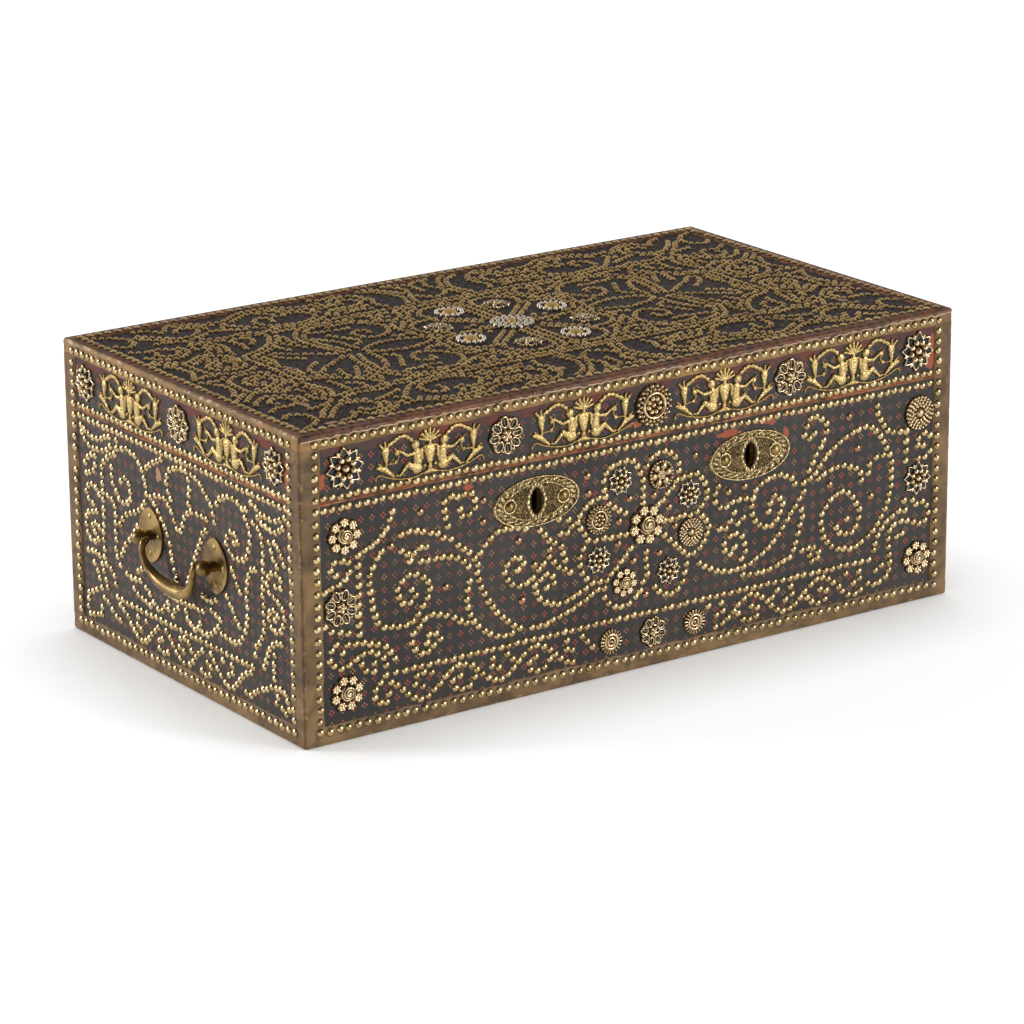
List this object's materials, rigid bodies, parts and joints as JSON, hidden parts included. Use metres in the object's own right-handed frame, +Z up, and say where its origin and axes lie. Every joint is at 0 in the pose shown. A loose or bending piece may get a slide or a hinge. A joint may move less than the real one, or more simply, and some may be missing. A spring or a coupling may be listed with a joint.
{
  "type": "leather trunk",
  "caption": "Low rectangular wooden trunk covered in printed leather, studded with brass nails and rosettes, with a hinged lid, bail handles and keyhole locks.",
  "frame": {"origin": "under the middle of the trunk, on the plane that it stands on", "axes": "+X along the front towards the right end as seen from the front, +Y towards the back, +Z up; the front faces -Y"},
  "size_m": [0.7904, 0.4308, 0.2949],
  "materials": {
    "camphor_wood": "bare camphor-like boards, oiled by age",
    "panel_leather": "aged black leather printed with small red and tan four-dot flowers",
    "binding_leather": "worn brown edge binding",
    "brass": "pressed brass with dark tarnish in the hollows",
    "handle_brass": "dark patinated cast brass, worn bright on the grip",
    "iron": "dark wrought iron"
  },
  "bodies": {
    "carcass": {"front_board": "camphor_wood", "back_board": "camphor_wood", "left_end_board": "camphor_wood", "right_end_board": "camphor_wood", "bottom_board": "camphor_wood", "front_leather": "panel_leather", "back_leather": "panel_leather", "left_leather": "panel_leather", "right_leather": "panel_leather", "base_rim_strip": "binding_leather", "corner_bindings": "binding_leather", "bottom_binding": "binding_leather", "front_studs": "brass", "back_studs": "brass", "left_studs": "brass", "right_studs": "brass", "base_rosettes": "brass", "left_escutcheon": "brass", "right_escutcheon": "brass", "escutcheon_nails": "brass", "left_lock_case": "iron", "right_lock_case": "iron", "lock_case_screws": "iron", "left_handle_front_plate": "handle_brass", "left_handle_rear_plate": "handle_brass", "right_handle_front_plate": "handle_brass", "right_handle_rear_plate": "handle_brass", "handle_rivets": "handle_brass", "left_hinge_base_leaf": "brass", "right_hinge_base_leaf": "brass", "left_hinge_pin": "brass", "right_hinge_pin": "brass", "hinge_base_screws": "iron"},
    "lid": {"lid_top_board": "camphor_wood", "lid_front_rail": "camphor_wood", "lid_back_rail": "camphor_wood", "lid_left_rail": "camphor_wood", "lid_right_rail": "camphor_wood", "lid_top_leather": "panel_leather", "lid_front_leather": "panel_leather", "lid_back_leather": "panel_leather", "lid_left_leather": "panel_leather", "lid_right_leather": "panel_leather", "lid_rim_strip": "binding_leather", "lid_corner_bindings": "binding_leather", "lid_top_binding": "binding_leather", "lid_studs": "brass", "lid_rosettes": "brass", "lid_plaques": "brass", "lid_top_rosettes": "brass", "left_lock_staple": "iron", "right_lock_staple": "iron", "lock_staple_screws": "iron", "left_hinge_lid_leaf": "brass", "right_hinge_lid_leaf": "brass", "hinge_lid_screws": "iron"},
    "left_bail": {"left_bail": "handle_brass"},
    "right_bail": {"right_bail": "handle_brass"},
    "left_lock_bolt": {"left_lock_bolt": "iron"},
    "right_lock_bolt": {"right_lock_bolt": "iron"}
  },
  "joints": [
    {"name": "lid_hinge", "type": "hinge", "parent": "carcass", "child": "lid", "pos_m": [0, 0.2134, 0.22625], "axis": [-1, 0, 0], "range_deg": [0, 105]},
    {"name": "left_bail_swing", "type": "hinge", "parent": "carcass", "child": "left_bail", "pos_m": [-0.387, -0.004, 0.135], "axis": [0, 1, 0], "range_deg": [0, 180]},
    {"name": "right_bail_swing", "type": "hinge", "parent": "carcass", "child": "right_bail", "pos_m": [0.387, -0.004, 0.135], "axis": [0, -1, 0], "range_deg": [0, 180]},
    {"name": "left_bolt_slide", "type": "slide", "parent": "carcass", "child": "left_lock_bolt", "axis": [1, 0, 0], "range_m": [0, 0.009]},
    {"name": "right_bolt_slide", "type": "slide", "parent": "carcass", "child": "right_lock_bolt", "axis": [1, 0, 0], "range_m": [0, 0.009]}
  ]
}
